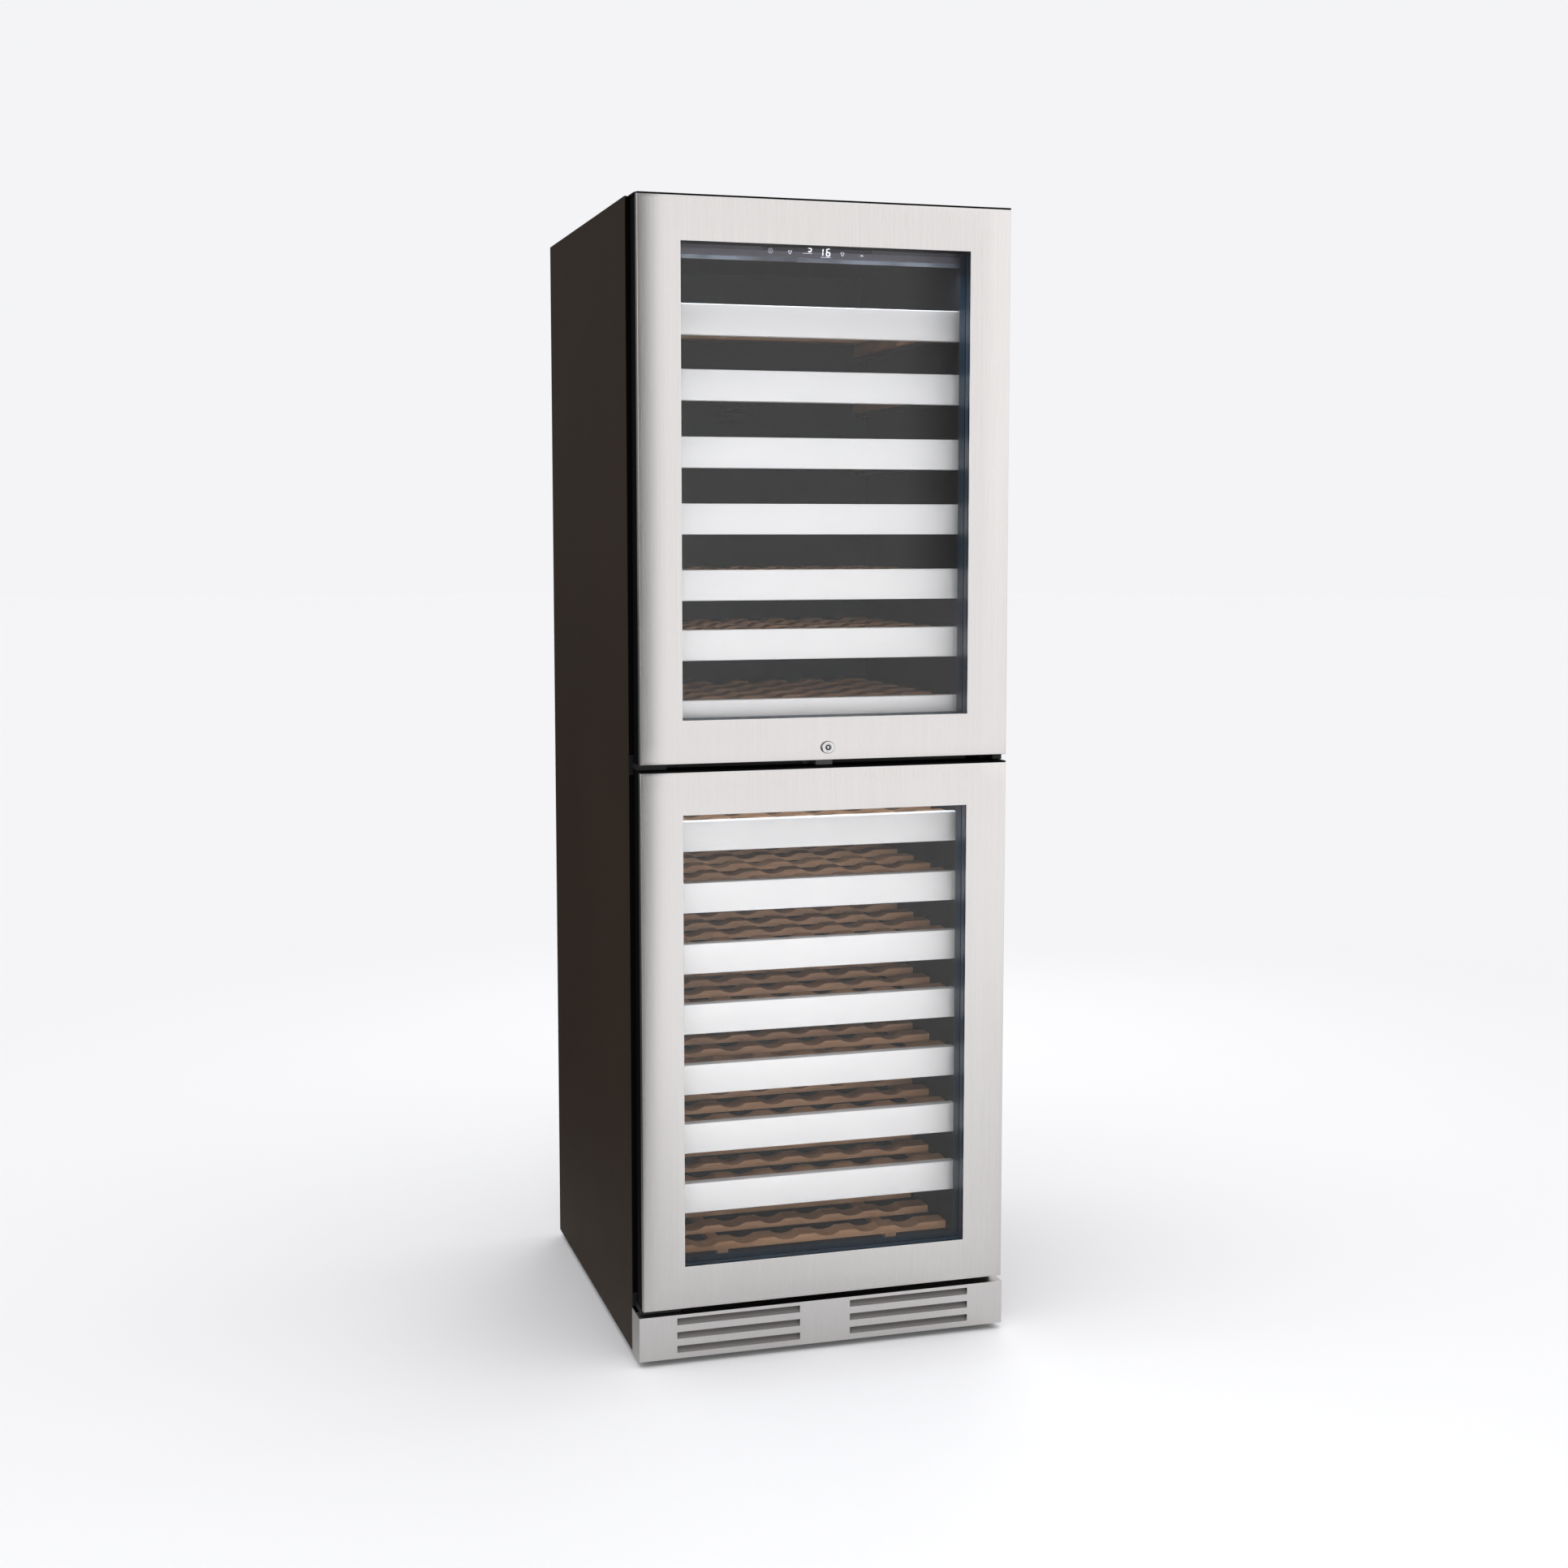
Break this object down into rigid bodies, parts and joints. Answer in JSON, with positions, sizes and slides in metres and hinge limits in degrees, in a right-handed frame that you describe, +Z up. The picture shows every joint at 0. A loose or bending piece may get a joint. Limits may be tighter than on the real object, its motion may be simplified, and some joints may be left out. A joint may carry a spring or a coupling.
{
  "type": "wine cooler",
  "caption": "Tall two-door dual-zone wine cooler with glazed steel doors, sliding wooden bottle racks and a louvred plinth.",
  "frame": {"origin": "centre of the footprint on the floor, under the middle of the whole box", "axes": "+Z up, -Y is the side the doors face, +X to the right of someone facing the doors"},
  "size_m": [0.595, 0.68, 1.77],
  "materials": {
    "cabinet_steel": "satin",
    "door_steel": "satin",
    "door_carcass": "satin",
    "seal_rubber": "matte",
    "glazing": "gloss",
    "spacer_bar": "satin",
    "liner_plastic": "satin",
    "shelf_wood": "satin",
    "shelf_fascia": "satin",
    "panel_plastic": "satin",
    "display_glass": "gloss",
    "led_light": "satin",
    "foam": "matte",
    "copper_pipe": "satin",
    "coil_aluminium": "satin",
    "black_steel": "satin",
    "fan_plastic": "satin",
    "lock_chrome": "polished",
    "foot_plastic": "matte",
    "inlet_plastic": "satin"
  },
  "bodies": {
    "cabinet": {"outer_wrap": "cabinet_steel", "back_panel": "cabinet_steel", "base_pan": "cabinet_steel", "rear_service_cover": "cabinet_steel", "plinth_grille": "door_steel", "front_frame": "door_carcass", "upper_liner": "liner_plastic", "lower_liner": "liner_plastic", "upper_duct_cover": "liner_plastic", "lower_duct_cover": "liner_plastic", "shelf_runners": "liner_plastic", "floor_rack": "shelf_wood", "control_panel": "panel_plastic", "display_window": "display_glass", "led_strips": "led_light", "insulation_foam": "foam", "refrigerant_pipes": "copper_pipe", "evaporators": "coil_aluminium", "condenser": "coil_aluminium", "compressor": "black_steel", "fan_motors": "black_steel", "top_hinge_bracket": "black_steel", "middle_hinge_bracket": "black_steel", "bottom_hinge_bracket": "black_steel", "door_rest_bracket": "black_steel", "lock_strike": "black_steel", "power_inlet": "inlet_plastic"},
    "upper_door": {"upper_door_skin": "door_steel", "upper_door_frame": "door_carcass", "upper_door_glass": "glazing", "upper_door_spacer": "spacer_bar", "upper_door_gasket": "seal_rubber", "lock_body": "lock_chrome"},
    "lower_door": {"lower_door_skin": "door_steel", "lower_door_frame": "door_carcass", "lower_door_glass": "glazing", "lower_door_spacer": "spacer_bar", "lower_door_gasket": "seal_rubber"},
    "lock_turning": {"lock_cylinder": "lock_chrome"},
    "upper_rack_1": {"upper_shelf_1": "shelf_wood"},
    "upper_rack_2": {"upper_shelf_2": "shelf_wood"},
    "upper_rack_3": {"upper_shelf_3": "shelf_wood"},
    "upper_rack_4": {"upper_shelf_4": "shelf_wood"},
    "upper_rack_5": {"upper_shelf_5": "shelf_wood"},
    "upper_rack_6": {"upper_shelf_6": "shelf_wood"},
    "upper_rack_7": {"upper_shelf_7": "shelf_wood"},
    "lower_rack_1": {"lower_shelf_1": "shelf_wood"},
    "lower_rack_2": {"lower_shelf_2": "shelf_wood"},
    "lower_rack_3": {"lower_shelf_3": "shelf_wood"},
    "lower_rack_4": {"lower_shelf_4": "shelf_wood"},
    "lower_rack_5": {"lower_shelf_5": "shelf_wood"},
    "lower_rack_6": {"lower_shelf_6": "shelf_wood"},
    "lower_rack_7": {"lower_shelf_7": "shelf_wood"},
    "upper_fan_rotor": {"upper_fan": "fan_plastic"},
    "lower_fan_rotor": {"lower_fan": "fan_plastic"},
    "condenser_fan_rotor": {"condenser_fan": "fan_plastic"},
    "foot_front_left_turning": {"foot_front_left": "foot_plastic"},
    "foot_front_right_turning": {"foot_front_right": "foot_plastic"},
    "foot_rear_left_turning": {"foot_rear_left": "foot_plastic"},
    "foot_rear_right_turning": {"foot_rear_right": "foot_plastic"}
  },
  "joints": [
    {"name": "upper_door_hinge", "type": "hinge", "parent": "cabinet", "child": "upper_door", "pos_m": [-0.28, -0.3045, 1.349], "axis": [0, 0, -1], "range_deg": [0, 115]},
    {"name": "lower_door_hinge", "type": "hinge", "parent": "cabinet", "child": "lower_door", "pos_m": [-0.28, -0.3045, 0.5055], "axis": [0, 0, -1], "range_deg": [0, 115]},
    {"name": "lock_turn", "type": "hinge", "parent": "upper_door", "child": "lock_turning", "pos_m": [0, -0.32, 0.9493], "axis": [0, 1, 0], "range_deg": [0, 90]},
    {"name": "upper_rack_1_slide", "type": "slide", "parent": "cabinet", "child": "upper_rack_1", "axis": [0, -1, 0], "range_m": [0, 0.1406]},
    {"name": "upper_rack_2_slide", "type": "slide", "parent": "cabinet", "child": "upper_rack_2", "axis": [0, -1, 0], "range_m": [0, 0.1406]},
    {"name": "upper_rack_3_slide", "type": "slide", "parent": "cabinet", "child": "upper_rack_3", "axis": [0, -1, 0], "range_m": [0, 0.1406]},
    {"name": "upper_rack_4_slide", "type": "slide", "parent": "cabinet", "child": "upper_rack_4", "axis": [0, -1, 0], "range_m": [0, 0.1406]},
    {"name": "upper_rack_5_slide", "type": "slide", "parent": "cabinet", "child": "upper_rack_5", "axis": [0, -1, 0], "range_m": [0, 0.1406]},
    {"name": "upper_rack_6_slide", "type": "slide", "parent": "cabinet", "child": "upper_rack_6", "axis": [0, -1, 0], "range_m": [0, 0.1406]},
    {"name": "upper_rack_7_slide", "type": "slide", "parent": "cabinet", "child": "upper_rack_7", "axis": [0, -1, 0], "range_m": [0, 0.1406]},
    {"name": "lower_rack_1_slide", "type": "slide", "parent": "cabinet", "child": "lower_rack_1", "axis": [0, -1, 0], "range_m": [0, 0.1406]},
    {"name": "lower_rack_2_slide", "type": "slide", "parent": "cabinet", "child": "lower_rack_2", "axis": [0, -1, 0], "range_m": [0, 0.1406]},
    {"name": "lower_rack_3_slide", "type": "slide", "parent": "cabinet", "child": "lower_rack_3", "axis": [0, -1, 0], "range_m": [0, 0.1406]},
    {"name": "lower_rack_4_slide", "type": "slide", "parent": "cabinet", "child": "lower_rack_4", "axis": [0, -1, 0], "range_m": [0, 0.1406]},
    {"name": "lower_rack_5_slide", "type": "slide", "parent": "cabinet", "child": "lower_rack_5", "axis": [0, -1, 0], "range_m": [0, 0.1406]},
    {"name": "lower_rack_6_slide", "type": "slide", "parent": "cabinet", "child": "lower_rack_6", "axis": [0, -1, 0], "range_m": [0, 0.1406]},
    {"name": "lower_rack_7_slide", "type": "slide", "parent": "cabinet", "child": "lower_rack_7", "axis": [0, -1, 0], "range_m": [0, 0.1406]},
    {"name": "upper_fan_spin", "type": "hinge", "parent": "cabinet", "child": "upper_fan_rotor", "pos_m": [0, 0.244, 1.5], "axis": [0, 1, 0], "continuous": true},
    {"name": "lower_fan_spin", "type": "hinge", "parent": "cabinet", "child": "lower_fan_rotor", "pos_m": [0, 0.244, 0.77], "axis": [0, 1, 0], "continuous": true},
    {"name": "condenser_fan_spin", "type": "hinge", "parent": "cabinet", "child": "condenser_fan_rotor", "pos_m": [-0.04, 0.216, 0.12], "axis": [1, 0, 0], "continuous": true},
    {"name": "foot_front_left_turn", "type": "hinge", "parent": "cabinet", "child": "foot_front_left_turning", "pos_m": [-0.25, -0.262, 0.01], "axis": [0, 0, 1], "range_deg": [-180, 180]},
    {"name": "foot_front_right_turn", "type": "hinge", "parent": "cabinet", "child": "foot_front_right_turning", "pos_m": [0.25, -0.262, 0.01], "axis": [0, 0, 1], "range_deg": [-180, 180]},
    {"name": "foot_rear_left_turn", "type": "hinge", "parent": "cabinet", "child": "foot_rear_left_turning", "pos_m": [-0.25, 0.29, 0.01], "axis": [0, 0, 1], "range_deg": [-180, 180]},
    {"name": "foot_rear_right_turn", "type": "hinge", "parent": "cabinet", "child": "foot_rear_right_turning", "pos_m": [0.25, 0.29, 0.01], "axis": [0, 0, 1], "range_deg": [-180, 180]}
  ],
  "couplings": [
    {"joint": "upper_rack_1_slide", "follows": "upper_door_hinge", "m_per_rad": 0.07},
    {"joint": "upper_rack_2_slide", "follows": "upper_door_hinge", "m_per_rad": 0.07},
    {"joint": "upper_rack_3_slide", "follows": "upper_door_hinge", "m_per_rad": 0.07},
    {"joint": "upper_rack_4_slide", "follows": "upper_door_hinge", "m_per_rad": 0.07},
    {"joint": "upper_rack_5_slide", "follows": "upper_door_hinge", "m_per_rad": 0.07},
    {"joint": "upper_rack_6_slide", "follows": "upper_door_hinge", "m_per_rad": 0.07},
    {"joint": "upper_rack_7_slide", "follows": "upper_door_hinge", "m_per_rad": 0.07},
    {"joint": "lower_rack_1_slide", "follows": "lower_door_hinge", "m_per_rad": 0.07},
    {"joint": "lower_rack_2_slide", "follows": "lower_door_hinge", "m_per_rad": 0.07},
    {"joint": "lower_rack_3_slide", "follows": "lower_door_hinge", "m_per_rad": 0.07},
    {"joint": "lower_rack_4_slide", "follows": "lower_door_hinge", "m_per_rad": 0.07},
    {"joint": "lower_rack_5_slide", "follows": "lower_door_hinge", "m_per_rad": 0.07},
    {"joint": "lower_rack_6_slide", "follows": "lower_door_hinge", "m_per_rad": 0.07},
    {"joint": "lower_rack_7_slide", "follows": "lower_door_hinge", "m_per_rad": 0.07}
  ]
}
